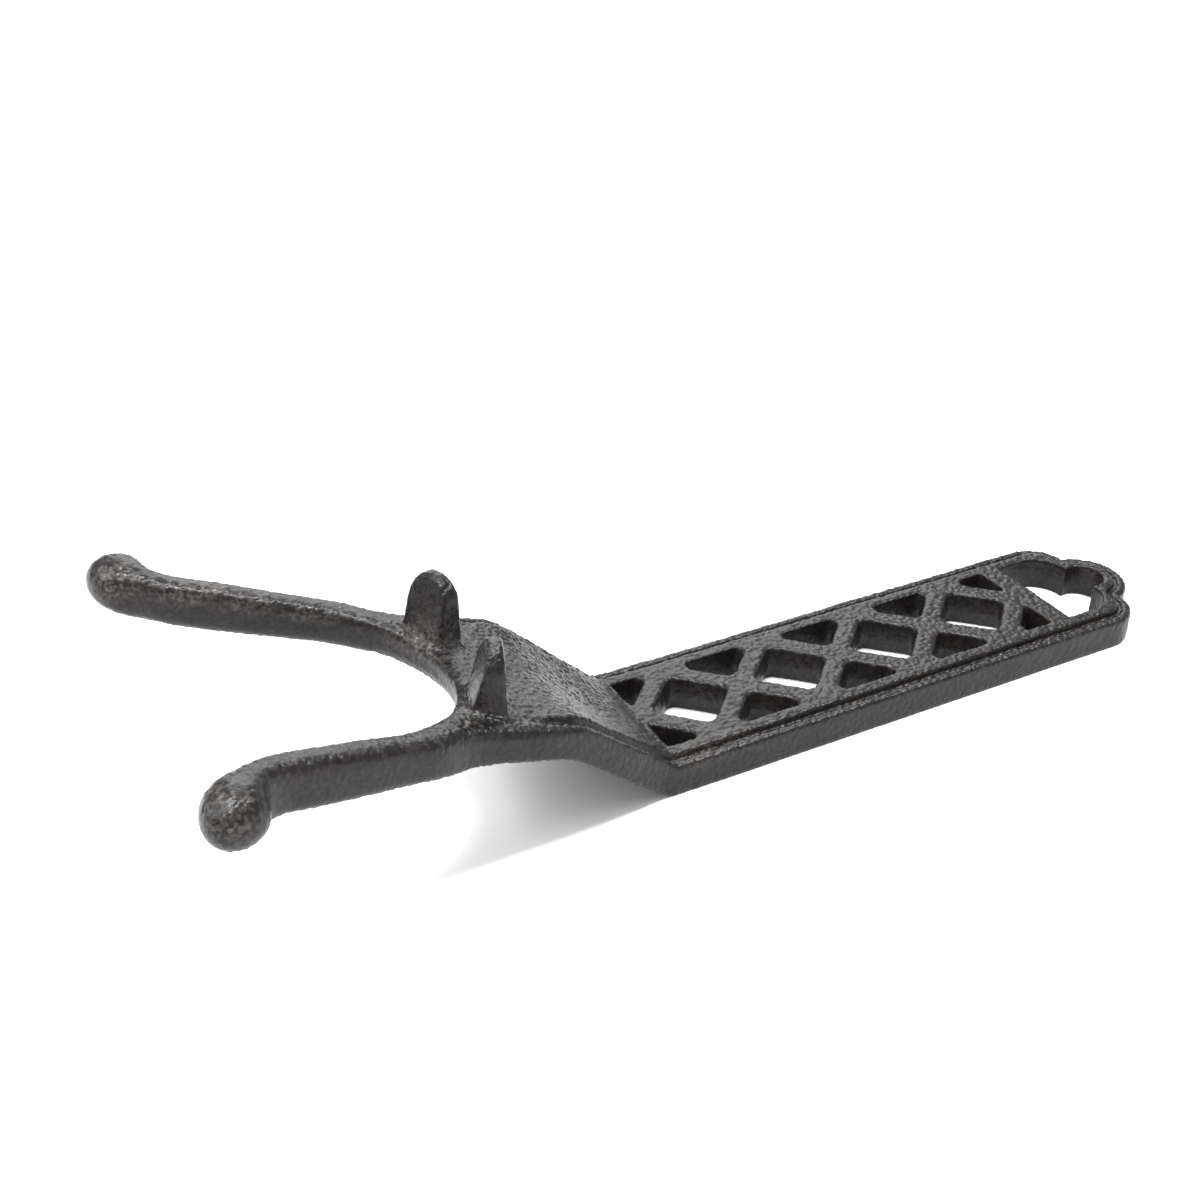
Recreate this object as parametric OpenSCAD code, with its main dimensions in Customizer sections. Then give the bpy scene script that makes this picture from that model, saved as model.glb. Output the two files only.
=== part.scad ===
// Cast-iron boot jack: a flat openwork handle, a raised throat and a fork with two heel tabs.
// x runs from the fork towards the handle's end, y across and z up. The bend, where the flat
// underside of the handle starts to rise, is x = 0 while the parts are drawn, and the whole
// jack is then moved so that its origin is below the middle of its bounding box.

/* [Handle] */
// Width across both side rails
handle_w = 48; // [46:1:56]
// Height of the outer bead above the floor
handle_h = 9.4; // [8:0.2:12]
// Width of each side rail
rail_w = 7.7; // [6.8:0.1:9]
// Length from the bend to the start of the hanging loop
handle_len = 144; // [120:1:170]
// Length of solid web between the bend and the openwork
web_len = 3.8; // [3.2:0.1:8]

/* [Moulding] */
// Width of the bead along the outer edge
bead_w = 2.4; // [2:0.1:3]
// Width of the groove inside the bead
groove_w = 1.8; // [1.4:0.1:2.2]
// Depth of the groove below the bead
groove_d = 1.3; // [0.6:0.1:2]
// Height of the inner band above the bead
band_rise = 1; // [0.6:0.1:1.6]
// Rounding of the outer top edge
edge_r = 1; // [0.6:0.1:1.6]
// Small rounding of every other cast edge
soft_r = 0.5; // [0.3:0.1:0.7]

/* [Openwork] */
// Width of the diagonal bars of the lozenges
bar_w = 7; // [5:0.5:8.5]
// Width of the plain rung before the hanging loop
rung_w = 7; // [5:0.5:10]
// Fillet in the corners of the openings
fillet_r = 2; // [1:0.5:3]
// Growth of each opening towards its top and bottom, so that the casting leaves the sand
draft = 0.6; // [0.2:0.1:1]

/* [Hanging loop] */
// Radius of the two side lobes
side_lobe_r = 11; // [9:0.5:13]
// Radius of the end lobe
end_lobe_r = 13; // [12:0.5:15]
// Distance from the start of the loop to the centres of the side lobes
side_lobe_x = 13; // [10:0.5:15]
// Distance from the start of the loop to the centre of the end lobe
end_lobe_x = 21; // [19:0.5:24]
// Radius of the opening's side lobes
eye_side_r = 9.3; // [8:0.1:10]
// Distance from the start of the loop to the centres of the opening's side lobes
eye_side_x = 10; // [8:0.5:11]
// Wall between the opening and the end lobe's outer edge
eye_wall = 6.7; // [5.5:0.1:8]

/* [Throat] */
// Steepness of the ramp
ramp_angle = 41.4; // [35:0.2:46]
// Thickness of the ramp and the yoke, square to the plate
plate_t = 8.2; // [7:0.2:10]
// Length of the ramp along the floor, to the crest of its top
ramp_len = 26.7; // [22:0.1:34]
// Depth of the dish in the top of the ramp
dish_d = 2.2; // [0:0.1:3]
// Growth of the half width from the handle to the shoulders
shoulder_grow = 5.6; // [2:0.1:8]

/* [Fork] */
// Length from the bend to the bottom of the throat
crotch_len = 51.3; // [48:0.1:60]
// Radius of the throat
throat_r = 29.7; // [26:0.1:34]
// Steepness of the top of the fork
rise_angle = 19.4; // [12:0.2:24]
// Steepness of the underside of the fork
under_angle = 16; // [10:0.2:19]
// Width of each arm
arm_w = 7.8; // [6.5:0.1:10]
// Spread of each arm from straight ahead
arm_spread = 13.8; // [8:0.2:18]
// Length of the straight part of each arm
arm_len = 31.5; // [20:0.5:45]
// Radius of the outward bend at the end of each arm
flare_r = 21; // [16:0.5:30]
// Direction of the path where the tip is widest, from straight ahead
flare_angle = 60; // [45:1:75]
// Narrowing of the arm's depth at its top and underside before the tip
waist = 0.5; // [0:0.1:1.5]
// Width of the rounded tip
tip_w = 14.8; // [11:0.2:16]
// Depth of the rounded tip
tip_h = 14.2; // [11:0.2:16]
// Length of the tip beyond its widest place
tip_cap = 8.4; // [5:0.2:11]
// Direction of the tip's blunt end from straight ahead
tip_turn = 86; // [60:1:95]
// Lift of the tip above the middle of the arm
tip_lift = 0.2; // [-1:0.1:2]
// Rounding of the arms' two top edges
arm_edge_r = 2.6; // [1.5:0.1:3.2]
// Rounding of the arms' inner lower edge, where the boot's heel slides in
inner_low_r = 3.6; // [2:0.1:4]
// Rounding of the arms' outer lower edge
outer_low_r = 1.4; // [0.8:0.1:3]

/* [Heel tabs] */
// Width of each tab
tab_w = 13.5; // [10:0.5:17]
// Height of the tab's top above the yoke at its back
tab_h = 18.8; // [14:0.2:26]
// Thickness of the tab at its top
tab_top_t = 3.6; // [3:0.1:6]
// Thickness of the tab at its foot
tab_foot_t = 9.5; // [6:0.1:11]
// Turn of each tab's face towards the middle of the throat
tab_turn = 20; // [0:1:35]
// Distance of the tab's middle from the centre line
tab_y = 18.6; // [14:0.2:20]
// Distance from the bottom of the throat back to the tab's back face
tab_back = 7.3; // [5:0.1:10]

/* [Hidden] */

iron = [0.17, 0.155, 0.145];
half_w = handle_w / 2;
inner_half_w = half_w - rail_w;
band_h = handle_h + band_rise;
lozenge_count = 4;
pitch = (handle_len - rung_w - web_len) / lozenge_count;

// Slopes of the side view, and the places where its lines meet
ramp_slope = tan(ramp_angle);
rise_slope = tan(rise_angle);
under_slope = tan(under_angle);
bend_r = 2;
crest_r = 4;
plate_v = plate_t / cos(ramp_angle);
inner_bend_x = (plate_v - handle_h) / ramp_slope;
crest_x = -ramp_len;
yoke_v = plate_t / cos(rise_angle);
under_crest_x = crest_x
    + (yoke_v - plate_v) / (ramp_slope - under_slope);

// Places along the fork
throat_x = -crotch_len - throat_r;
root_x = throat_x + throat_r * sin(40);
shoulder_x = -46;
tab_x = tab_back - crotch_len;

// A line that is level above x0 and rises by one for each unit below it, with a rounded corner
function kink(x, x0, r) =
    x > x0 + r ? 0 : x < x0 - r ? x0 - x : pow(x0 + r - x, 2) / (4 * r);

// Heights of the outer top edge and of the underside along the jack
function top_z(x) = handle_h
    + ramp_slope * kink(x, inner_bend_x, bend_r)
    - (ramp_slope - rise_slope) * kink(x, crest_x, crest_r);
function under_z(x) = ramp_slope * kink(x, 0, bend_r)
    - (ramp_slope - under_slope) * kink(x, under_crest_x, crest_r);

function mix(a, b, t) = a + (b - a) * t;
function clamp01(t) = max(0, min(1, t));
function ease(t) = let (c = clamp01(t)) c * c * (3 - 2 * c);

// Solid through a list of rings that all have the same number of points
module loft(rings) {
    n = len(rings[0]);
    last = len(rings) - 1;
    points = [for (ring = rings) each ring];
    sides = [for (i = [0:last - 1], j = [0:n - 1]) let (k = (j + 1) % n) each [
        [i * n + j, i * n + k, (i + 1) * n + k],
        [i * n + j, (i + 1) * n + k, (i + 1) * n + j]]];
    start = [for (j = [n - 1:-1:0]) j];
    end = [for (j = [0:n - 1]) last * n + j];
    polyhedron(points, concat([start], sides, [end]), convexity = 8);
}

// Moves a piece from the drawing's origin at the bend to the jack's own origin
module placed() {
    translate([-middle_x, 0, 0]) color(iron) children();
}

// The moulding from the outer edge inwards: [inset, height against the bead]. A rounder edge
// pushes the bead and the groove inwards.
function moulding(edge, relief) = let (bead_end = bead_w + edge - edge_r) [
    [0, -edge],
    [0.3 * edge, -0.3 * edge],
    [edge, 0],
    [bead_end - soft_r, 0],
    [bead_end, -soft_r * relief],
    [bead_end + soft_r / 2, -groove_d * relief],
    [bead_end + groove_w - soft_r / 2, -groove_d * relief],
    [bead_end + groove_w, (band_rise - soft_r) * relief],
    [bead_end + groove_w + soft_r, band_rise * relief]];

// Section of the handle's edge to a given depth inwards: [inset, height]
function edge_section(depth) = concat(
    [[depth, 0], [soft_r, 0], [0, soft_r]],
    [for (p = moulding(edge_r, 1)) [p[0], handle_h + p[1]]],
    [[depth, band_h]]);

// Side rail between the web and the hanging loop
module rail() {
    placed() translate([web_len, half_w, 0]) rotate([90, 0, 90])
        linear_extrude(handle_len - web_len)
            polygon([for (p = edge_section(rail_w)) [-p[0], p[1]]]);
}
module left_rail() { rail(); }
module right_rail() { mirror([0, 1, 0]) rail(); }

// Openings of the lattice, as convex outlines with filleted corners
lattice_gap = 1 - bar_w / 2 * norm([pitch / 2, inner_half_w]) / (pitch / 2 * inner_half_w);
gap_x = pitch / 2 * lattice_gap;
gap_y = inner_half_w * lattice_gap;
corner_steps = 4;

function unit(v) = v / norm(v);
function fillet_centre(before, corner, after) =
    let (a = unit(before - corner), b = unit(after - corner),
         half_angle = acos(a * b) / 2)
    corner + unit(a + b) * fillet_r / sin(half_angle);
function heading(v) = atan2(v[1], v[0]);

// One ring of a filleted convex outline, grown by a distance and set at a height
function gap_ring(outline, grow, z) = let (n = len(outline)) [
    for (i = [0:n - 1])
        let (before = outline[(i + n - 1) % n], corner = outline[i],
             after = outline[(i + 1) % n],
             centre = fillet_centre(before, corner, after),
             first = heading(corner - before) - 90,
             turn = (heading(after - corner) - heading(corner - before) + 720) % 360)
        for (k = [0:corner_steps])
            let (a = first + turn * k / corner_steps)
            [centre[0] + (fillet_r + grow) * cos(a), centre[1] + (fillet_r + grow) * sin(a), z]];

module gap(outline) {
    loft([
        gap_ring(outline, draft + 3 * soft_r, band_h + soft_r),
        gap_ring(outline, draft, band_h - soft_r),
        gap_ring(outline, 0, handle_h / 2),
        gap_ring(outline, draft, soft_r),
        gap_ring(outline, draft + soft_r, -soft_r)]);
}

diamond = [[gap_x, 0], [0, gap_y], [-gap_x, 0], [0, -gap_y]];
wedge = [[gap_x, 0], [-gap_x, 0], [0, -gap_y]];

// One lozenge of the lattice, cut from a plate between the rails
module lozenge(i) {
    placed() translate([web_len + (i - 0.5) * pitch, 0, 0]) difference() {
        translate([-pitch / 2, -inner_half_w, 0]) cube([pitch, 2 * inner_half_w, band_h]);
        gap(diamond);
        for (x = [-pitch / 2, pitch / 2]) {
            translate([x, inner_half_w, 0]) gap(wedge);
            translate([x, -inner_half_w, 0]) mirror([0, 1, 0]) gap(wedge);
        }
    }
}
module lozenge_1() { lozenge(1); }
module lozenge_2() { lozenge(2); }
module lozenge_3() { lozenge(3); }
module lozenge_4() { lozenge(4); }

// Plain rung that closes the lattice
module end_rung() {
    placed() translate([handle_len - rung_w, -inner_half_w, 0])
        cube([rung_w, 2 * inner_half_w, band_h]);
}

// Centres of the loop's lobes, and the notch where the outlines of two lobes cross
side_c = [handle_len + side_lobe_x, half_w - side_lobe_r];
end_c = [handle_len + end_lobe_x, 0];
lobe_gap = norm(end_c - side_c);
notch_a = (pow(side_lobe_r, 2) - pow(end_lobe_r, 2) + pow(lobe_gap, 2)) / (2 * lobe_gap);
notch_h = sqrt(pow(side_lobe_r, 2) - pow(notch_a, 2));
to_end = unit(end_c - side_c);
notch = side_c + notch_a * to_end + notch_h * [-to_end[1], to_end[0]];
notch_r = norm(notch - [notch[0] - side_lobe_r, 0]) / 2;

module lobe_edge(centre, r, from, to) {
    translate(centre) rotate([0, 0, from]) rotate_extrude(angle = to - from, $fn = 48)
        polygon([for (p = edge_section(r)) [r - p[0], p[1]]]);
}

// Moulding carried round the inside of a notch
module notch_edge() {
    from = heading(side_c - notch);
    to = heading(end_c - notch) + 360;
    translate(notch) rotate([0, 0, from]) rotate_extrude(angle = to - from, $fn = 48)
        polygon([for (p = edge_section(notch_r)) [max(0, p[0]), p[1]]]);
}

module eye() {
    for (side = [-1, 1])
        translate([handle_len + eye_side_x, side * (inner_half_w - eye_side_r), -1])
            cylinder(h = band_h + 2, r = eye_side_r, $fn = 48);
    translate([end_c[0], 0, -1])
        cylinder(h = band_h + 2, r = end_lobe_r - eye_wall, $fn = 48);
    translate([handle_len - 1, -inner_half_w, -1])
        cube([eye_side_x + 1, 2 * inner_half_w, band_h + 2]);
    translate([handle_len, 0, -1]) linear_extrude(band_h + 2)
        polygon([[eye_side_x, eye_side_r - inner_half_w], [end_lobe_x, 0],
                 [eye_side_x, inner_half_w - eye_side_r]]);
}

// Plate inside the moulding, which carries the moulded edges of all the lobes
module loop_core() {
    r_less = bead_w / 2;
    translate([0, 0, soft_r]) linear_extrude(handle_h - groove_d - 2 * soft_r) {
        for (side = [-1, 1])
            translate([side_c[0], side * side_c[1]]) circle(r = side_lobe_r - r_less, $fn = 48);
        translate(end_c) circle(r = end_lobe_r - r_less, $fn = 48);
        translate([handle_len + r_less, r_less - half_w])
            square([side_lobe_x, handle_w - 2 * r_less]);
    }
}

// Three-lobed loop at the end of the handle
module hanging_loop() {
    placed() difference() {
        union() {
            loop_core();
            for (side = [0, 1]) mirror([0, side, 0]) {
                translate([handle_len, half_w, 0]) rotate([90, 0, 90])
                    linear_extrude(side_lobe_x)
                        polygon([for (p = edge_section(half_w)) [-p[0], p[1]]]);
                lobe_edge(side_c, side_lobe_r, heading(notch - side_c), 90);
                notch_edge();
            }
            lobe_edge(end_c, end_lobe_r, -heading(notch - end_c), heading(notch - end_c));
        }
        eye();
    }
}

// Half width of the ramp and the yoke: flared from the handle, then round the throat
function outer_y(x) =
    let (flared = half_w + shoulder_grow
             * sin(90 * clamp01((x + bend_r) / (shoulder_x + bend_r))),
         ring_r = throat_r + arm_w,
         round = sqrt(max(0, pow(ring_r, 2) - pow(x - throat_x, 2))),
         soft = 1.5 * clamp01(x / shoulder_x))
    (flared + round) / 2 + norm([(flared - round) / 2, soft]);

dish_run = 14;
dish_steps = 5;

// Section of the ramp or the yoke at one place along the jack
function plate_ring(x) =
    let (w = outer_y(x),
         steep = norm([1, (top_z(x - 0.1) - top_z(x + 0.1)) / 0.2]),
         fade = 1 - ease((x - crest_x) / (shoulder_x - crest_x)),
         edge = mix(arm_edge_r, edge_r, fade),
         under_r = mix(outer_low_r, soft_r, fade),
         low = under_z(x),
         mould = moulding(edge, fade),
         inner = w - mould[len(mould) - 1][0],
         dish = dish_d * ease(-x / dish_run)
             * (1 - ease((x - crest_x) / (tab_x - crest_x))),
         half = concat(
             [[w - under_r, low], [w - 0.3 * under_r, low + 0.3 * under_r],
              [w, low + under_r]],
             [for (p = mould) [w - p[0], top_z(x) + p[1] * steep]],
             [for (i = [1:dish_steps])
                 let (t = i / dish_steps)
                 [inner * (1 - t),
                  top_z(x) + (band_rise * fade - dish * sin(90 * t)) * steep]]),
         n = len(half))
    concat([for (p = half) [x, p[0], p[1]]],
           [for (i = [n - 2:-1:0]) [x, -half[i][0], half[i][1]]]);

// Places between two ends, at equal steps
function stops(from, to, count) = [for (i = [0:count]) mix(from, to, i / count)];

module plate(places) {
    loft([for (x = places) plate_ring(x)]);
}

// Where the ramp ends and the yoke starts
yoke_x = crest_x - crest_r;

// Sloping plate that lifts the fork off the floor
module ramp() {
    placed() plate(concat(
        [web_len],
        stops(inner_bend_x + bend_r / 2, -bend_r, 3),
        stops(-bend_r - dish_run / 4, crest_x + crest_r, 3),
        stops(crest_x + crest_r / 2, yoke_x, 3)));
}

// Cutter of the throat, which follows the slope of the fork and rounds its edges
throat_steps = 72;
function throat_ring(grow, rise, slope_z) = [
    for (i = [0:throat_steps - 1])
        let (a = -360 * i / throat_steps,
             x = throat_x + (throat_r + grow) * cos(a))
        [x, (throat_r + grow) * sin(a), slope_z(x) + rise]];

module throat() {
    upper = function (x) top_z(crest_x - crest_r) + rise_slope * (crest_x - crest_r - x);
    lower = function (x) under_z(under_crest_x - crest_r)
        + under_slope * (under_crest_x - crest_r - x);
    r = arm_edge_r;
    low_r = inner_low_r;
    loft([
        throat_ring(1.7 * low_r, -3 * low_r, lower),
        throat_ring(1.7 * low_r, -0.3 * low_r, lower),
        throat_ring(0.3 * low_r, 0.3 * low_r, lower),
        throat_ring(0, low_r, lower),
        throat_ring(0, -r, upper),
        throat_ring(0.3 * r, -0.3 * r, upper),
        throat_ring(1.7 * r, 0.3 * r, upper),
        throat_ring(1.7 * r, 4 * tab_h, upper)]);
}

// Crosspiece of the fork, from the crest of the ramp to the roots of the arms
yoke_steps = 10;
module yoke_plate() {
    plate(stops(yoke_x, root_x, yoke_steps));
}
module yoke() {
    placed() difference() {
        yoke_plate();
        throat();
    }
}

// Arm path: round the throat, then straight, then bent outwards. Each entry is [x, y, heading].
arm_c = throat_r + arm_w / 2;
function round_point(a) = [throat_x + arm_c * sin(a), arm_c * cos(a), a];
root_a = asin((root_x - throat_x) / arm_c);
straight_start = round_point(arm_spread);
straight_end = straight_start
    + [-arm_len * cos(arm_spread), arm_len * sin(arm_spread), 0];
function flare_point(a) = [
    straight_end[0] - flare_r * (sin(a) - sin(arm_spread)),
    straight_end[1] + flare_r * (cos(arm_spread) - cos(a)),
    a];
flare_mid = (arm_spread + flare_angle) / 2;
tip_c = flare_point(flare_angle);

// Ring of a rounded bar across the path, in a vertical plane turned by the path's heading. The
// radii go round its corners: outer top, inner top, inner low and outer low.
ring_corner_steps = 5;
arm_radii = [arm_edge_r, arm_edge_r, inner_low_r, outer_low_r];
function bar_ring(at, turn, half, low, high, radii) = [
    for (q = [0:3], k = [0:ring_corner_steps])
        let (r = radii[q],
             a = 90 * q + 90 * k / ring_corner_steps,
             v = (q == 0 || q == 3 ? 1 : -1) * (half - r) + r * cos(a),
             z = (q < 2 ? high - r : low + r) + r * sin(a))
        [at[0] + v * sin(turn), at[1] + v * cos(turn), z]];

// The arm gets a slight waist where it bends outwards
waist_run = 16;
waist_start = straight_end[0] + 0.6 * waist_run;
function arm_top(x) = top_z(x) - waist * ease((waist_start - x) / waist_run);
function arm_low(x) = under_z(x) + waist * ease((waist_start - x) / waist_run);

// The arm's ring at a point of its path
function arm_ring(p, turn, half) =
    bar_ring(p, turn, half, arm_low(p[0]), arm_top(p[0]), arm_radii);

round_count = 4;
straight_count = 5;
flare_count = 4;

module arm() {
    root_half = (outer_y(root_x) - throat_r * cos(40)) / 2;
    root_mid = (outer_y(root_x) + throat_r * cos(40)) / 2;
    placed() loft(concat(
        [arm_ring([root_x, root_mid], 0, root_half)],
        [for (i = [1:round_count])
            let (t = i / round_count, p = round_point(mix(root_a, arm_spread, t)))
            arm_ring(p, p[2] * t, mix(root_half, arm_w / 2, t))],
        [for (i = [1:straight_count])
            let (p = mix(straight_start, straight_end, i / straight_count))
            arm_ring(p, p[2], arm_w / 2)],
        [for (i = [1:flare_count])
            let (p = flare_point(mix(arm_spread, flare_mid, i / flare_count)))
            arm_ring(p, p[2], arm_w / 2)]));
}
module left_arm() { arm(); }
module right_arm() { mirror([0, 1, 0]) arm(); }

// Rounded tip: the arm swells to a knob, whose blunt end turns on outwards
swell_count = 6;
cap_count = 7;
cap_arc = 87;
bluntness = 0.67;
swell_delay = 1.5;
function tip_ring(p, swell, shrink) =
    let (half = mix(arm_w, tip_w, swell) / 2,
         x = max(p[0], tip_c[0]),
         mid = (arm_low(x) + arm_top(x)) / 2 + tip_lift * swell,
         high = mix(arm_top(x) - arm_low(x), tip_h, swell) / 2,
         round_r = min(half, high) - 0.05,
         radii = [for (r = arm_radii) mix(r, round_r, swell) * shrink])
    bar_ring(p, p[2], half * shrink, mid - high * shrink, mid + high * shrink, radii);

// Point of the cap's path after a share of its arc
function cap_point(i) =
    i == 0 ? tip_c
    : let (before = cap_point(i - 1),
           reach = sin(cap_arc * i / cap_count),
           run = tip_cap * (reach - sin(cap_arc * (i - 1) / cap_count)),
           turn = mix(flare_angle, tip_turn, reach))
      [before[0] - run * cos(turn), before[1] + run * sin(turn), turn];
tip_rings = concat(
    [for (i = [0:swell_count])
        let (t = i / swell_count)
        tip_ring(flare_point(mix(flare_mid, flare_angle, t)), pow(ease(t), swell_delay), 1)],
    [for (i = [1:cap_count])
        tip_ring(cap_point(i), 1, pow(cos(cap_arc * i / cap_count), bluntness))]);

module tip() {
    placed() loft(tip_rings);
}
module left_tip() { tip(); }
module right_tip() { mirror([0, 1, 0]) tip(); }

// Heel tab: a plate with a round top, upright at the back and sloping at the front
module tab() {
    foot_z = under_z(tab_x) + plate_t / 2;
    top = top_z(tab_x) + tab_h;
    placed() difference() {
        translate([tab_x, tab_y, 0]) rotate([0, 0, tab_turn]) intersection() {
            rotate([90, 0, -90]) linear_extrude(tab_foot_t * 2) {
                translate([0, top - tab_w / 2]) circle(r = tab_w / 2, $fn = 64);
                translate([-tab_w / 2, foot_z])
                    square([tab_w, top - tab_w / 2 - foot_z]);
            }
            rotate([90, 0, 0]) translate([0, 0, -tab_w])
                linear_extrude(2 * tab_w) polygon([
                    [0, foot_z], [0, top + 1], [-tab_top_t, top + 1], [-tab_top_t, top],
                    [-tab_foot_t, top - tab_h], [-tab_foot_t, foot_z]]);
        }
        yoke_plate();
    }
}
module left_tab() { tab(); }
module right_tab() { mirror([0, 1, 0]) tab(); }

// Middle of the bounding box along the jack
x_low = min([for (ring = tip_rings, p = ring) p[0]]);
x_high = end_c[0] + end_lobe_r;
middle_x = (x_low + x_high) / 2;

left_rail();
right_rail();
end_rung();
lozenge_1();
lozenge_2();
lozenge_3();
lozenge_4();
hanging_loop();
ramp();
yoke();
left_arm();
right_arm();
left_tip();
right_tip();
left_tab();
right_tab();
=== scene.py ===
# %% [markdown]
# # A cast-iron boot jack
# A boot jack is one iron casting. One foot stands on the flat handle, the other boot's heel goes
# into the fork, and two upright tabs keep it from turning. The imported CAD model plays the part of
# the casting's pattern: it holds every form and every size. Blender gives it what the sand mould
# gives a real one, which is soft corners, a grained skin, and a dark coat rubbed bright in places.
#
# The lesson goes the casting's way. The studio and the iron come first, then the pattern, its skin
# and its rubbed places. The last cuts turn the one skin into named pieces.

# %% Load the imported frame
import math

import bmesh
import bpy
import numpy as np
from mathutils import Matrix, Vector


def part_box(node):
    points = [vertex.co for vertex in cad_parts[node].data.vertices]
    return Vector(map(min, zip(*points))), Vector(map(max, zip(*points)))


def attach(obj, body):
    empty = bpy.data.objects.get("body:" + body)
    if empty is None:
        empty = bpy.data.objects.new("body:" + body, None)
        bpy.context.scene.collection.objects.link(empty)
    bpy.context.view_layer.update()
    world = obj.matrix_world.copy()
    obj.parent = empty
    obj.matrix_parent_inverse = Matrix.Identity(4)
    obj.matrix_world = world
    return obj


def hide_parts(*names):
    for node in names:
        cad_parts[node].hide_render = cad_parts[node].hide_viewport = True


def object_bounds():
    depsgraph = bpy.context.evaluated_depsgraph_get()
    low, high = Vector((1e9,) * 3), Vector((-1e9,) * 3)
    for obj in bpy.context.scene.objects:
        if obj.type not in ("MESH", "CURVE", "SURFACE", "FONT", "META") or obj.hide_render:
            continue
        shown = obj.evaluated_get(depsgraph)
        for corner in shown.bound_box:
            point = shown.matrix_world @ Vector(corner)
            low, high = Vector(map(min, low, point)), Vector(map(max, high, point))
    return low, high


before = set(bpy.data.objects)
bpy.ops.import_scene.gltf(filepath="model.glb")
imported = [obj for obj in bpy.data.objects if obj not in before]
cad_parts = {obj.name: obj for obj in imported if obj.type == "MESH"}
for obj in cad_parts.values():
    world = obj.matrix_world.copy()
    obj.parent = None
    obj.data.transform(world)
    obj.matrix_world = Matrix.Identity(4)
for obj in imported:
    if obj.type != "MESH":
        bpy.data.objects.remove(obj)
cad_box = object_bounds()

MM = 0.001
low = {node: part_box(node)[0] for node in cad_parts}
high = {node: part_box(node)[1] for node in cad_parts}
print("CAD nodes:", len(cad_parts), "box:", cad_box)

# %% [markdown]
# ## Camera
# The photograph was taken from in front of the fork, on the right-hand side and from above. A
# camera can be placed by eye, but then no measure of the render can be compared. So its place, its
# directions and its focal length were worked out from the lines of the handle and of the arms.
# Blender's camera looks along its own -Z with +Y up, so the three directions below are the columns
# of its matrix.

# %% Camera at the photograph's viewing angle
PHOTO_PX = 1200
FOCAL_PX = 1502.4
SENSOR = 36
CAMERA_AT = Vector((-189.67, -288.89, 250.62)) * MM
YAW, PITCH, ROLL = (math.radians(a) for a in (28.17, 31.42, 0.31))

ahead = Vector((math.sin(YAW) * math.cos(PITCH), math.cos(YAW) * math.cos(PITCH),
                -math.sin(PITCH)))
level = Vector((math.cos(YAW), -math.sin(YAW), 0))
above = level.cross(ahead)
across = math.cos(ROLL) * level + math.sin(ROLL) * above
upward = math.cos(ROLL) * above - math.sin(ROLL) * level

camera = bpy.data.objects.new("camera", bpy.data.cameras.new("camera"))
bpy.context.scene.collection.objects.link(camera)
camera.data.sensor_width = SENSOR
camera.data.lens = SENSOR * FOCAL_PX / PHOTO_PX
camera.data.clip_start = 0.01
camera.matrix_world = Matrix.Translation(CAMERA_AT) @ Matrix(
    (across, upward, -ahead)).transposed().to_4x4()
bpy.context.scene.camera = camera
print("lens", round(camera.data.lens, 2), "mm")

# %% [markdown]
# ## Node helper
# Materials and Geometry Nodes are both trees of nodes. They can be clicked together in an editor,
# but a script can be read and run again, so one short helper adds a node and joins its sockets.

# %% A helper that adds nodes
def add(tree, kind, inputs=None, **settings):
    """Adds a node. inputs maps a socket's name or number to a value or to another socket."""
    node = tree.nodes.new(kind)
    for key, value in settings.items():
        setattr(node, key, value)
    for key, value in (inputs or {}).items():
        if isinstance(value, bpy.types.NodeSocket):
            tree.links.new(value, node.inputs[key])
        else:
            node.inputs[key].default_value = value
    return node


def new_material(name):
    """A material and its empty node tree."""
    material = bpy.data.materials.new(name)
    material.use_nodes = True
    material.node_tree.nodes.clear()
    return material, material.node_tree


# %% [markdown]
# ## Floor
# The jack lies on white paper that is lit until it is nearly white. A flat sheet, far larger than
# the picture, is enough. Its edge never shows in the photograph's view.

# %% Paper floor
FLOOR_SIDE = 8.0
PAPER_WHITE = 0.93

paper, tree = new_material("paper")
surface = add(tree, "ShaderNodeBsdfPrincipled", {
    "Base Color": (PAPER_WHITE, PAPER_WHITE, PAPER_WHITE, 1), "Roughness": 0.9,
    "Specular IOR Level": 0.1})
add(tree, "ShaderNodeOutputMaterial", {"Surface": surface.outputs[0]})

mesh = bpy.data.meshes.new("floor")
h = FLOOR_SIDE / 2
mesh.from_pydata([(-h, -h, 0), (h, -h, 0), (h, h, 0), (-h, h, 0)], [], [(0, 1, 2, 3)])
mesh.materials.append(paper)
floor = bpy.data.objects.new("floor", mesh)
bpy.context.scene.collection.objects.link(floor)
print("floor", FLOOR_SIDE, "m wide")

# %% [markdown]
# ## Light
# Dark iron shows mostly what it reflects, so each light is placed for its mirror image. A gleam
# appears where the surface stands halfway between the light and the camera.
#
# - The strip hangs over the near side, along the jack. It draws the line of bright grains on the
#   far arm's inner edge and on the beads of the rails.
# - The window stands low behind the handle. It brightens the dish of the ramp and all flat tops.
# - The left box gives the walls their tone, and the spark puts a point of light on both knobs.
#
# A white sky fills the shadows, which are soft and faint in the photograph.

# %% Soft light
LIGHTS = {  # where, facing, width, length, watts
    "strip": ((0.15, -0.12, 1.1), (-0.05, -0.12, 0), 0.16, 1.0, 16),
    "left": ((-0.9, 0.25, 0.95), (0, 0, 0), 1.1, 1.1, 11),
    "window": ((0.4, 1.0, 0.75), (0, 0, 0), 1.0, 1.0, 10),
    "spark": ((-0.54, -0.25, 0.94), (-0.14, 0, 0.06), 0.35, 0.35, 3)}
SKY = 0.47

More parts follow.
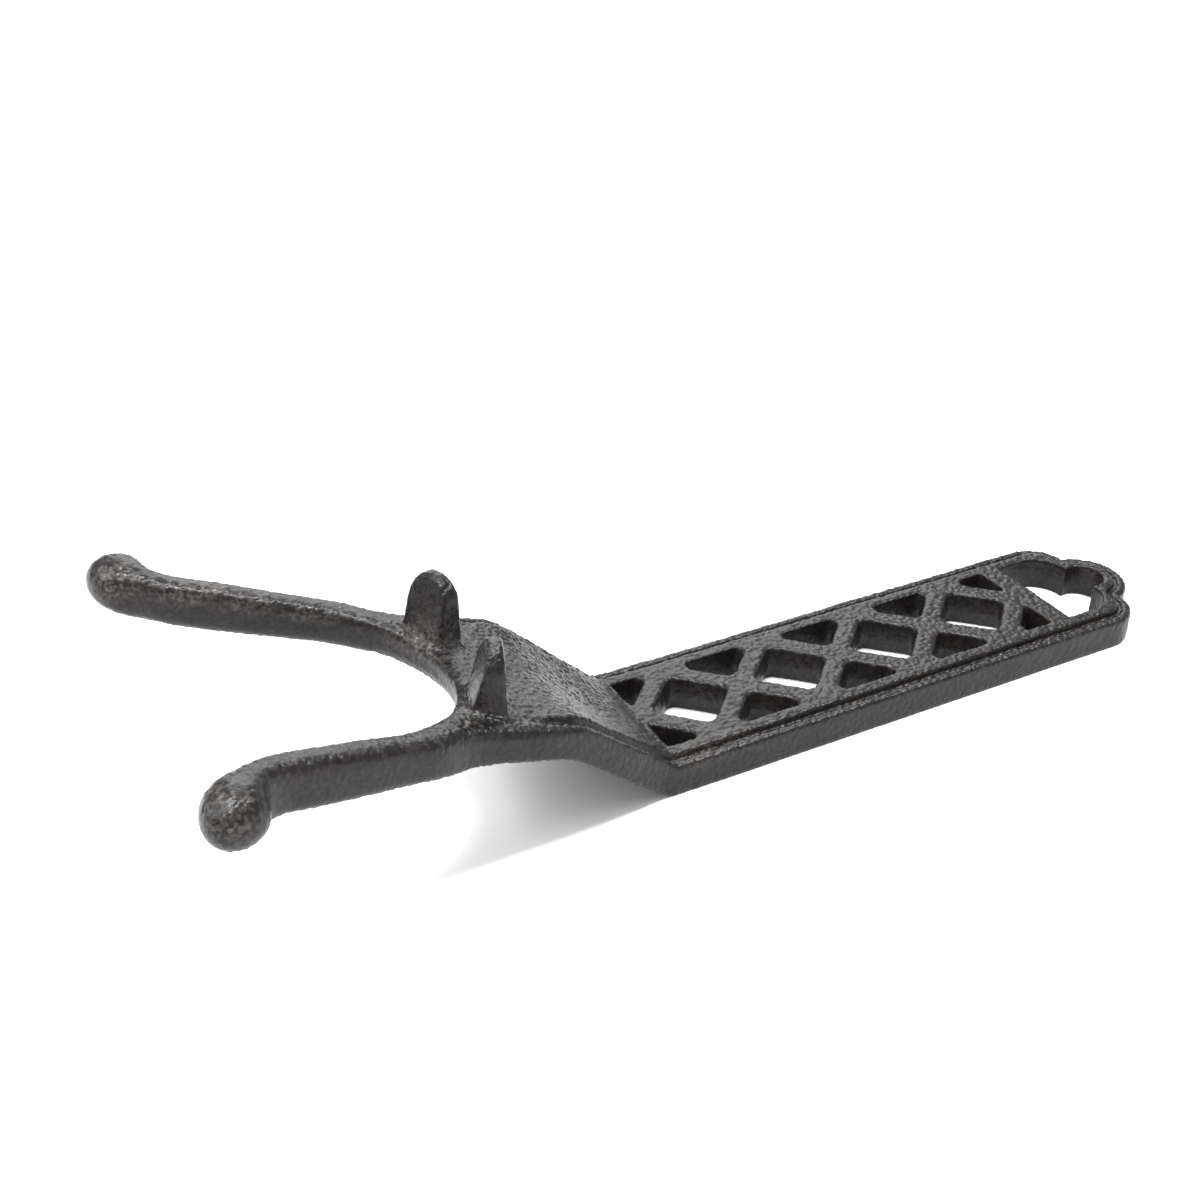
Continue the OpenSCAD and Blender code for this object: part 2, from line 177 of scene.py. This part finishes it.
for name, (at, towards, width, length, watts) in LIGHTS.items():
    lamp = bpy.data.lights.new(name, "AREA")
    lamp.shape = "RECTANGLE"
    lamp.size, lamp.size_y = width, length
    lamp.energy = watts
    softbox = bpy.data.objects.new(name, lamp)
    softbox.location = at
    softbox.rotation_euler = (Vector(towards) - Vector(at)).to_track_quat("-Z", "Y").to_euler()
    bpy.context.scene.collection.objects.link(softbox)

world = bpy.data.worlds.new("studio")
world.use_nodes = True
world.node_tree.nodes["Background"].inputs["Color"].default_value = (1, 1, 1, 1)
world.node_tree.nodes["Background"].inputs["Strength"].default_value = SKY
bpy.context.scene.world = world
bpy.context.scene.view_settings.view_transform = "Standard"
print("lights:", ", ".join(LIGHTS))

# %% [markdown]
# ## Iron
# The iron is brown-black under a thin coat. The coat is neither matt nor glossy, so a soft light
# shows as a broken, grainy gleam. One flat dark colour would look like plastic. So the colour
# follows the skin: clouds in the coat, painted shade in the hollows between the grains, and bare
# iron on the proud grains where the coat is rubbed. The skin carries three values for this on its
# points: "grain", how proud the sand stands, "rub", how worn a place is, and "wall", how steep it
# is.

# %% Helpers for values in a tree
MIX = {"FLOAT": (2, 3, 0), "VECTOR": (4, 5, 1), "RGBA": (6, 7, 2)}


def maths(tree, operation, *values):
    return add(tree, "ShaderNodeMath", dict(enumerate(values)), operation=operation).outputs[0]


def mixed(tree, kind, factor, a, b):
    """a where the factor is 0 and b where it is 1."""
    first, second, result = MIX[kind]
    return add(tree, "ShaderNodeMix", {"Factor": factor, first: a, second: b},
               data_type=kind).outputs[result]


def between(tree, value, start, end, to_start=0.0, to_end=1.0, **settings):
    """Turns start..end into to_start..to_end and stops at both ends."""
    return add(tree, "ShaderNodeMapRange", {
        "Value": value, "From Min": start, "From Max": end,
        "To Min": to_start, "To Max": to_end}, **settings).outputs[0]


def attribute(tree, name):
    """A value that the skin carries on its points."""
    return add(tree, "ShaderNodeAttribute", attribute_name=name).outputs["Fac"]


def clouds(tree, size, detail):
    """Noise in lumps of a size, fixed to the piece."""
    place = add(tree, "ShaderNodeTexCoord").outputs["Object"]
    return add(tree, "ShaderNodeTexNoise", {
        "Vector": place, "Scale": 1 / size, "Detail": detail}).outputs["Fac"]


# %% Colour of the coat, painted shade in its hollows, and the bare grains
COAT = ((0.35, (0.008, 0.0072, 0.007, 1)), (0.65, (0.0165, 0.014, 0.0125, 1)))
# Painted shade: the darker colour given to the hollows between the grains.
PAINTED_HOLLOW_SHADE = (0.005, 0.0045, 0.0045, 1)
BARE_IRON = (0.2, 0.185, 0.175, 1)
COAT_CLOUDS = 12 * MM
GRIT = 1.0 * MM


def iron_colour(tree):
    """The colour, and how bare the iron is."""
    coat = add(tree, "ShaderNodeValToRGB", {"Fac": clouds(tree, COAT_CLOUDS, 4.0)})
    for stop, (place, colour) in zip(coat.color_ramp.elements, COAT):
        stop.position, stop.color = place, colour
    peaks = between(tree, attribute(tree, "grain"), -0.2, 0.2)
    # Painted shade: the hollows of the grain take the darker colour, and the proud grains keep the
    # coat's colour.
    coat = mixed(tree, "RGBA", peaks, PAINTED_HOLLOW_SHADE, coat.outputs["Color"])
    grit = between(tree, clouds(tree, GRIT, 3.0), 0.42, 0.6, 0.1)
    bare = maths(tree, "MULTIPLY", attribute(tree, "rub"), grit)
    bare = maths(tree, "MULTIPLY", bare, peaks)
    return mixed(tree, "RGBA", bare, coat, BARE_IRON), bare


# %% [markdown]
# The gloss varies in patches, and rubbing polishes it. The walls that are drawn out of the sand
# are duller than the tops. The finest grain is too small for the mesh and is a bump.

# %% Iron material
GLOSS_PATCHES = 5 * MM
ROUGH = (0.28, 0.38)
RUBBED_SMOOTHER = 0.07
TOP_SHINE, WALL_SHINE = 0.38, 0.24
FINE_GRAIN, FINE_HEIGHT = 0.75 * MM, 0.14 * MM


def iron_material():
    material, tree = new_material("coated_iron")
    colour, bare = iron_colour(tree)
    rough = between(tree, clouds(tree, GLOSS_PATCHES, 3.0), 0.3, 0.7, *ROUGH)
    polish = maths(tree, "MULTIPLY", attribute(tree, "rub"), RUBBED_SMOOTHER)
    bump = add(tree, "ShaderNodeBump", {
        "Height": clouds(tree, FINE_GRAIN, 3.0), "Strength": 0.8, "Distance": FINE_HEIGHT})
    shader = add(tree, "ShaderNodeBsdfPrincipled", {
        "Base Color": colour, "Metallic": bare,
        "Roughness": maths(tree, "SUBTRACT", rough, polish),
        "Specular IOR Level": between(
            tree, attribute(tree, "wall"), 0.0, 1.0, TOP_SHINE, WALL_SHINE),
        "Normal": bump.outputs[0]})
    add(tree, "ShaderNodeOutputMaterial", {"Surface": shader.outputs[0]})
    return material


iron = iron_material()
print("iron material:", len(iron.node_tree.nodes), "nodes")

# %% [markdown]
# ## The pattern
# The CAD nodes meet face to face, and their faces are few and long. A bevel would stop at every
# such seam. Joined into one mesh and remeshed with small voxels, they become one closed skin whose
# faces are all about the same size, which is what a grain needs.

# %% Join the nodes and remesh them
VOXEL = 0.34 * MM


def plain_mesh(thing):
    """The object's mesh with its modifiers applied, as a new mesh."""
    bpy.context.view_layer.update()
    graph = bpy.context.evaluated_depsgraph_get()
    return bpy.data.meshes.new_from_object(thing.evaluated_get(graph))


def joined(nodes):
    """One mesh of copies of CAD nodes, each with its loose triangles merged."""
    points, faces = [], []
    for node in nodes:
        bm = bmesh.new()
        bm.from_mesh(node.data)
        bmesh.ops.remove_doubles(bm, verts=bm.verts, dist=MM / 1000)
        start = len(points)
        points += [v.co[:] for v in bm.verts]
        faces += [[v.index + start for v in f.verts] for f in bm.faces]
        bm.free()
    mesh = bpy.data.meshes.new("pattern")
    mesh.from_pydata(points, [], faces)
    return mesh


pattern = bpy.data.objects.new("pattern", joined(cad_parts.values()))
bpy.context.scene.collection.objects.link(pattern)
remesh = pattern.modifiers.new("skin", "REMESH")
remesh.mode = "VOXEL"
remesh.voxel_size = VOXEL
pattern.data = plain_mesh(pattern)
pattern.modifiers.clear()
print("skin:", len(pattern.data.polygons), "quads")

# %% [markdown]
# ## The cast skin
# A sand mould rounds every corner and leaves its own grain. Both follow a rule over the whole
# surface, so Geometry Nodes make them, and sculpting by hand isn't needed. The tree is put
# together from a few steps, and each step is a function below.

# %% A Geometry Nodes tree with named sizes
SOCKETS = {int: "NodeSocketInt", float: "NodeSocketFloat", Vector: "NodeSocketVector",
           bpy.types.Material: "NodeSocketMaterial"}


def new_tree(name, sizes):
    """A tree with one named input for each size. Returns it and its inputs."""
    tree = bpy.data.node_groups.new(name, "GeometryNodeTree")
    tree.interface.new_socket("Geometry", in_out="INPUT", socket_type="NodeSocketGeometry")
    tree.interface.new_socket("Geometry", in_out="OUTPUT", socket_type="NodeSocketGeometry")
    for label, value in sizes.items():
        tree.interface.new_socket(label, in_out="INPUT", socket_type=SOCKETS[type(value)])
    return tree, add(tree, "NodeGroupInput").outputs


def run_tree(thing, tree, sizes):
    """Runs the tree on an object and leaves the result as its plain mesh."""
    modifier = thing.modifiers.new(tree.name, "NODES")
    modifier.node_group = tree
    for item in tree.interface.items_tree:
        if item.in_out == "INPUT" and item.name in sizes:
            modifier[item.identifier] = sizes[item.name]
    thing.data = plain_mesh(thing)
    thing.modifiers.clear()


# %% Helpers for points and places
def vector_maths(tree, operation, *values):
    node = add(tree, "ShaderNodeVectorMath", dict(enumerate(values)), operation=operation)
    return node.outputs["Value" if operation in ("DOT_PRODUCT", "LENGTH") else "Vector"]


def smooth(tree, value, start, end):
    """0 at the start, 1 at the end, and a smooth way between."""
    return between(tree, value, start, end, interpolation_type="SMOOTHSTEP")


def blurred(tree, value, passes):
    return add(tree, "GeometryNodeBlurAttribute", {
        "Value": value, "Iterations": passes}, data_type="FLOAT_VECTOR").outputs[0]


def moved(tree, geometry, **how):
    return add(tree, "GeometryNodeSetPosition", {"Geometry": geometry, **how}).outputs[0]


def along_normal(tree, geometry, normal, lift):
    return moved(tree, geometry, Offset=add(tree, "ShaderNodeVectorMath", {
        0: normal, "Scale": lift}, operation="SCALE").outputs[0])


def stored(tree, geometry, name, value):
    return add(tree, "GeometryNodeStoreNamedAttribute", {
        "Geometry": geometry, "Name": name, "Value": value},
        data_type="FLOAT", domain="POINT").outputs[0]


def read(tree, name):
    return add(tree, "GeometryNodeInputNamedAttribute", {"Name": name},
               data_type="FLOAT").outputs[0]


# %% [markdown]
# ### Where the tabs are
# The tabs are rounder than the rest, and soft fillets run round their feet. The tree has to know
# how near a point is to a tab. The tabs are mirror images, so y counts without its sign, and one
# box does for both.

# %% Mark the tabs and their feet
def near_box(tree, place, box_low, box_high, reach):
    """1 inside a box and 0 beyond its reach."""
    off = vector_maths(tree, "MAXIMUM", vector_maths(tree, "SUBTRACT", box_low, place),
                       vector_maths(tree, "SUBTRACT", place, box_high))
    off = vector_maths(tree, "MAXIMUM", off, (0, 0, 0))
    return smooth(tree, vector_maths(tree, "LENGTH", off), reach, 0.0)


def with_tab_marks(tree, given, skin, position):
    x, y, z = add(tree, "ShaderNodeSeparateXYZ", {0: position}).outputs
    folded = add(tree, "ShaderNodeCombineXYZ", {
        0: x, 1: maths(tree, "ABSOLUTE", y), 2: z}).outputs[0]
    skin = stored(tree, skin, "by tab", near_box(
        tree, folded, given["Tab low"], given["Tab high"], given["Tab reach"]))
    return stored(tree, skin, "by foot", near_box(
        tree, folded, given["Tab low"], given["Foot high"], given["Fillet reach"]))


# %% [markdown]
# ### Soft corners and fillets
# Blurring the points' places pulls them in at every corner, as the sand does, and more passes make
# a larger round. The arms are the roundest. A stronger blur lies above the surface in a hollow and
# below it on a corner, so the hollows are filled up to it and the corners stay. The fillets at the
# tabs' feet fill up fully, and every other hollow a little, such as the groove of the moulding.

# %% Round the corners and fill the hollows
def rounded(tree, given, skin, position, on_arm):
    corners = mixed(tree, "VECTOR", read(tree, "by tab"),
                    blurred(tree, position, given["Corner passes"]),
                    blurred(tree, position, given["Tab passes"]))
    corners = mixed(tree, "VECTOR", on_arm, corners,
                    blurred(tree, position, given["Arm passes"]))
    return moved(tree, skin, Position=corners)


def filled(tree, given, skin, position, normal):
    above_it = vector_maths(
        tree, "SUBTRACT", blurred(tree, position, given["Fillet passes"]), position)
    rise = vector_maths(tree, "DOT_PRODUCT", above_it, normal)
    share = maths(tree, "MAXIMUM", read(tree, "by foot"), given["Hollow fill"])
    return along_normal(tree, skin, normal, maths(
        tree, "MULTIPLY", maths(tree, "MAXIMUM", rise, 0.0), share))


# %% [markdown]
# ### Sand grain
# The flat faces have a pebbled grain, and the walls have finer upright strokes where the pattern
# was drawn out of the sand. Noise makes the strokes. Noise and the cells of a Voronoi texture make
# the pebbles, and widely spaced Voronoi points make the few pits. The textures are read in space,
# so they run across the seams between regions.

# %% Make the grain
PEBBLE_SHARE, PEBBLE_MIDDLE, PEBBLE_BLEND = 0.5, 0.45, 0.6
STROKE_SHARE, STROKE_STRETCH = 0.55, (1, 1, 0.6)


def ripples(tree, given, position, size, detail, stretch=(1, 1, 1)):
    """Noise about 0 in lumps of a size."""
    noise = add(tree, "ShaderNodeTexNoise", {
        "Vector": vector_maths(tree, "MULTIPLY", position, stretch), "W": given["Seed"],
        "Scale": maths(tree, "DIVIDE", 1.0, size), "Detail": detail}, noise_dimensions="4D")
    return maths(tree, "SUBTRACT", noise.outputs["Fac"], 0.5)


def stones(tree, given, position, spacing, feature, **more):
    """How far a point is from the nearest of many scattered points."""
    return add(tree, "ShaderNodeTexVoronoi", {
        "Vector": position, "W": given["Seed"],
        "Scale": maths(tree, "DIVIDE", 1.0, spacing), **more},
        voronoi_dimensions="4D", feature=feature).outputs["Distance"]


def sand_grain(tree, given, position, flat):
    pebbles = maths(tree, "SUBTRACT", PEBBLE_MIDDLE, stones(
        tree, given, position, given["Pebble size"], "SMOOTH_F1", Smoothness=PEBBLE_BLEND))
    sand = maths(tree, "ADD", ripples(tree, given, position, given["Sand size"], 3.0),
                 maths(tree, "MULTIPLY", pebbles, PEBBLE_SHARE))
    strokes = maths(tree, "MULTIPLY", ripples(
        tree, given, position, given["Sand size"], 3.0, STROKE_STRETCH), STROKE_SHARE)
    return mixed(tree, "FLOAT", flat, strokes, sand)


# %% [markdown]
# ### Lift
# Each point moves along its normal by the sum of a slow wave, the grain and a small swell, less
# the pits. The swell gives back what the blur took. The arms are smoother than the rest. A point
# that would leave the CAD model's box stops at it.

# %% Move the points
def lift_of(tree, given, position, sand, on_arm):
    height = mixed(tree, "FLOAT", on_arm, given["Sand height"], given["Arm sand height"])
    wave = maths(tree, "MULTIPLY", ripples(
        tree, given, position, given["Wave size"], 0.0), given["Wave height"])
    pits = smooth(tree, stones(tree, given, position, given["Pit spacing"], "F1"),
                  given["Pit share"], 0.0)
    lift = maths(tree, "ADD", wave, maths(tree, "MULTIPLY", sand, height))
    lift = maths(tree, "SUBTRACT", lift, maths(tree, "MULTIPLY", pits, given["Pit depth"]))
    return maths(tree, "ADD", lift, given["Swell"])


def kept_inside(tree, given, skin, position):
    inside = vector_maths(tree, "MAXIMUM", position, given["Low corner"])
    return moved(tree, skin, Position=vector_maths(
        tree, "MINIMUM", inside, given["High corner"]))


# %% Put the tree together
def skin_tree(sizes):
    tree, given = new_tree("cast skin", sizes)
    position = add(tree, "GeometryNodeInputPosition").outputs[0]
    normal = add(tree, "GeometryNodeInputNormal").outputs[0]
    x = add(tree, "ShaderNodeSeparateXYZ", {0: position}).outputs[0]
    upness = maths(tree, "ABSOLUTE", add(
        tree, "ShaderNodeSeparateXYZ", {0: normal}).outputs[2])
    on_arm = smooth(tree, x, given["Arm start"], given["Arm end"])
    flat = smooth(tree, upness, given["Wall normal"], given["Top normal"])

    skin = with_tab_marks(tree, given, given["Geometry"], position)
    skin = rounded(tree, given, skin, position, on_arm)
    skin = filled(tree, given, skin, position, normal)
    sand = sand_grain(tree, given, position, flat)
    skin = stored(tree, skin, "grain", sand)
    skin = stored(tree, skin, "wall", maths(tree, "SUBTRACT", 1.0, flat))
    skin = along_normal(tree, skin, normal, lift_of(tree, given, position, sand, on_arm))
    skin = kept_inside(tree, given, skin, position)

    skin = add(tree, "GeometryNodeSetShadeSmooth", {"Geometry": skin}).outputs[0]
    skin = add(tree, "GeometryNodeRealizeInstances", {"Geometry": skin}).outputs[0]
    skin = add(tree, "GeometryNodeSetMaterial", {
        "Geometry": skin, "Material": given["Material"]}).outputs[0]
    add(tree, "NodeGroupOutput", {"Geometry": skin})
    return tree


# %% Sizes of the skin
def passes(reach):
    """How many blur passes spread a value over a reach, whatever the voxels' size."""
    return max(1, round(2.5 * (reach / VOXEL) ** 2))


root_x = low["yoke"].x
tab_low, tab_high = low["left_tab"], high["left_tab"]
SKIN = {
    "Corner passes": passes(0.4 * MM), "Tab passes": passes(0.9 * MM),
    "Arm passes": passes(1.7 * MM), "Arm start": root_x + 8 * MM, "Arm end": root_x - 8 * MM,
    "Fillet passes": passes(2.3 * MM), "Fillet reach": 11 * MM, "Hollow fill": 0.3,
    "Wave size": 16 * MM, "Wave height": 0.3 * MM,
    "Sand size": 1.25 * MM, "Pebble size": 1.4 * MM, "Sand height": 0.85 * MM,
    "Arm sand height": 0.55 * MM, "Wall normal": 0.25, "Top normal": 0.8,
    "Pit spacing": 9 * MM, "Pit share": 0.1, "Pit depth": 0.35 * MM,
    "Swell": 0.12 * MM, "Seed": 4.0,
    "Tab low": Vector(tab_low), "Tab high": Vector(tab_high), "Tab reach": 3 * MM,
    "Foot high": Vector((tab_high.x, tab_high.y, tab_low.z + 5 * MM)),
    "Low corner": Vector(cad_box[0]), "High corner": Vector(cad_box[1]),
    "Material": iron}
run_tree(pattern, skin_tree(SKIN), SKIN)
print("values on the skin:", [a.name for a in pattern.data.attributes])

# %% [markdown]
# ## Rubbed places
# Hands, boots and the floor rub the coat off in a few places. They could be painted by hand, but
# a short list does the same and can be changed. Each is a spot with a reach and a strength, which
# fades away from the spot, and the worn value is stored on the skin's points for the material.

# %% Rubbed places
WORN_EVERYWHERE = 0.12
RUBBED = (  # middle and reach in mm, strength
    ((-101, 27, 50.5), (11, 5, 3.5), 0.9),  # inner edge of the left arm
    ((-115, 31, 55.5), (11, 5, 3.5), 1.0),
    ((-130, 36, 60), (11, 5, 3.5), 1.0),
    ((-147, 45, 63), (7, 7, 5), 1.0),  # knobs
    ((-146, -53, 62), (6, 8, 6), 1.0),
    ((-82, 12, 44), (9, 9, 5), 0.8),  # feet of the tabs
    ((-82, -20, 43), (6, 7, 4), 0.8),
    ((-14, -21, 9), (20, 5, 4), 0.5))  # right rail by the bend

places = np.empty(len(pattern.data.vertices) * 3)
pattern.data.vertices.foreach_get("co", places)
places = places.reshape(-1, 3) / MM
rub = np.full(len(places), WORN_EVERYWHERE)
for middle, reach, strength in RUBBED:
    away = (((places - middle) / reach) ** 2).sum(axis=1)
    rub = np.maximum(rub, strength * np.exp(-away))
pattern.data.attributes.new("rub", "FLOAT", "POINT").data.foreach_set("value", rub)
print("rubbed share of the points:", round(float((rub > 0.4).mean()), 3))

# %% [markdown]
# ## Regions of the casting
# The skin is one closed surface, but each region of the jack is a piece of its own that stands for
# its CAD node. Boolean modifiers keep what lies inside one block and take away what lies inside
# others. Both sides of a cut get the same flat face. So every piece is closed, and the seam
# between two of them doesn't show.

# %% A block that only cuts
FAR = 1.0
cutters = []


def block(corner_low, corner_high, turn=None):
    """A box between two corners, turned if asked."""
    bm = bmesh.new()
    bmesh.ops.create_cube(bm, size=1)
    mesh = bpy.data.meshes.new("cutter")
    bm.to_mesh(mesh)
    bm.free()
    a, b = Vector(corner_low), Vector(corner_high)
    mesh.transform(Matrix.Translation((a + b) / 2) @ Matrix.Diagonal((*(b - a), 1)))
    if turn:
        mesh.transform(turn)
    cutter = bpy.data.objects.new("cutter", mesh)
    bpy.context.scene.collection.objects.link(cutter)
    cutters.append(cutter)
    return cutter


def slab(x0, x1, y0=-FAR, y1=FAR):
    """Everything between two planes across the jack, over a part of its width."""
    return block((x0, y0, -FAR), (x1, y1, FAR))


# %% [markdown]
# The slabs' planes come from the CAD nodes' boxes, but two seams aren't square to the jack. An arm
# ends across its own path. Its last ring of points is shared with the knob, and a plane fitted to
# that ring is the seam. The singular value decomposition gives the direction in which the ring is
# thinnest, which is the plane's normal.

# %% Where an arm ends
arm_points = np.array([v.co[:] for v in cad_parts["left_arm"].data.vertices])
tip_points = np.unique([v.co[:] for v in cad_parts["left_tip"].data.vertices], axis=0)
SAME_PLACE = MM / 50
ring = np.array([p for p in tip_points if np.abs(arm_points - p).max(axis=1).min() < SAME_PLACE])
ring_middle = ring.mean(axis=0)
out = np.linalg.svd(ring - ring_middle)[2][2]
out *= np.sign(out @ (tip_points.mean(axis=0) - ring_middle))
tip_turn = math.atan2(out[1], out[0])
print("arm ends at", (ring_middle / MM).round(2), "turned", round(math.degrees(tip_turn), 1))

# %% A block beyond the arm
KNOB_ROOM = 0.05


def tip_block(side):
    """Everything beyond an arm's end."""
    at = Vector((ring_middle[0], side * ring_middle[1], 0))
    turn = Matrix.Translation(at) @ Matrix.Rotation(side * tip_turn, 4, "Z")
    return block((0, -KNOB_ROOM, -FAR), (FAR, KNOB_ROOM, FAR), turn)


# %% [markdown]
# The other seam that isn't square is a tab's foot, because the fork rises under it. The block for
# a tab stands on the tab's own lowest face and a little over it, so that the whole fillet's foot
# stays with the yoke.

# %% A block over the foot of a tab
TAB_LIFT = 1.2 * MM
TAB_REACH = 17 * MM


def foot(node):
    """Middle and upward direction of the face that a tab stands on."""
    under = [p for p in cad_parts[node].data.polygons if p.normal.z < -0.8]
    area = sum(p.area for p in under)
    middle = sum((p.center * p.area for p in under), Vector()) / area
    return middle, -sum((p.normal * p.area for p in under), Vector()).normalized()


def tab_block(node):
    """Everything just over the fork round one tab."""
    middle, upward = foot(node)
    turn = Matrix.Translation(middle) @ upward.to_track_quat("Z", "X").to_matrix().to_4x4()
    return block((-TAB_REACH, -TAB_REACH, TAB_LIFT), (TAB_REACH, TAB_REACH, FAR), turn)


# %% [markdown]
# ### The list of regions
# Each region has the CAD node that it stands for, the block to keep and the blocks to take away.
# The arms, knobs, tabs and rails come in pairs, so one loop over the two sides lists them.

# %% List the regions
inner = low["left_rail"].y
loop_x, web_x, yoke_x = low["hanging_loop"].x, high["ramp"].x, low["ramp"].x

tabs = [tab_block(word + "_tab") for word in ("left", "right")]
regions = {
    "loop": ("hanging_loop", slab(loop_x, FAR)),
    "dished_ramp": ("ramp", slab(yoke_x, web_x)),
    "yoke_plate": ("yoke", slab(root_x, yoke_x), *tabs),
    "rung": ("end_rung", slab(low["end_rung"].x, loop_x, -inner, inner))}
for i in (1, 2, 3, 4):
    node = f"lozenge_{i}"
    regions[f"lattice_{i}"] = (node, slab(low[node].x, high[node].x, -inner, inner))
for side, word, tab in ((1, "left", tabs[0]), (-1, "right", tabs[1])):
    rail_y, half_y = sorted((side * inner, side * FAR)), sorted((0, side * FAR))
    tip = tip_block(side)
    regions[word + "_side_rail"] = (word + "_rail", slab(web_x, loop_x, *rail_y))
    regions[word + "_heel_tab"] = (word + "_tab", tab)
    regions[word + "_fork_arm"] = (word + "_arm", slab(-FAR, root_x, *half_y), tip)
    regions[word + "_knob"] = (word + "_tip", tip)
print(len(regions), "regions, blocks:", len(cutters))

# %% Cut the regions, name them and hide the CAD nodes that they stand for
SHARP = math.radians(60)


def region(name, keep, drop):
    """The part of the skin inside the keep block and outside the others, as a closed piece."""
    piece = bpy.data.objects.new(name, pattern.data)
    bpy.context.scene.collection.objects.link(piece)
    for cutter, operation in [(keep, "INTERSECT"), *((d, "DIFFERENCE") for d in drop)]:
        cut = piece.modifiers.new("cut", "BOOLEAN")
        cut.operation = operation
        cut.object = cutter
        cut.solver = "MANIFOLD"
    piece.data = plain_mesh(piece)
    piece.modifiers.clear()
    return piece


for name, (node, keep, *drop) in regions.items():
    piece = region(name, keep, drop)
    piece.data.set_sharp_from_angle(angle=SHARP)
    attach(piece, "root")
    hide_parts(node)
    print(name, len(piece.data.polygons), "faces")

# %% Clear away what only cut
for thing in [pattern, *cutters]:
    bpy.data.objects.remove(thing)
print("pieces left:", len(regions))
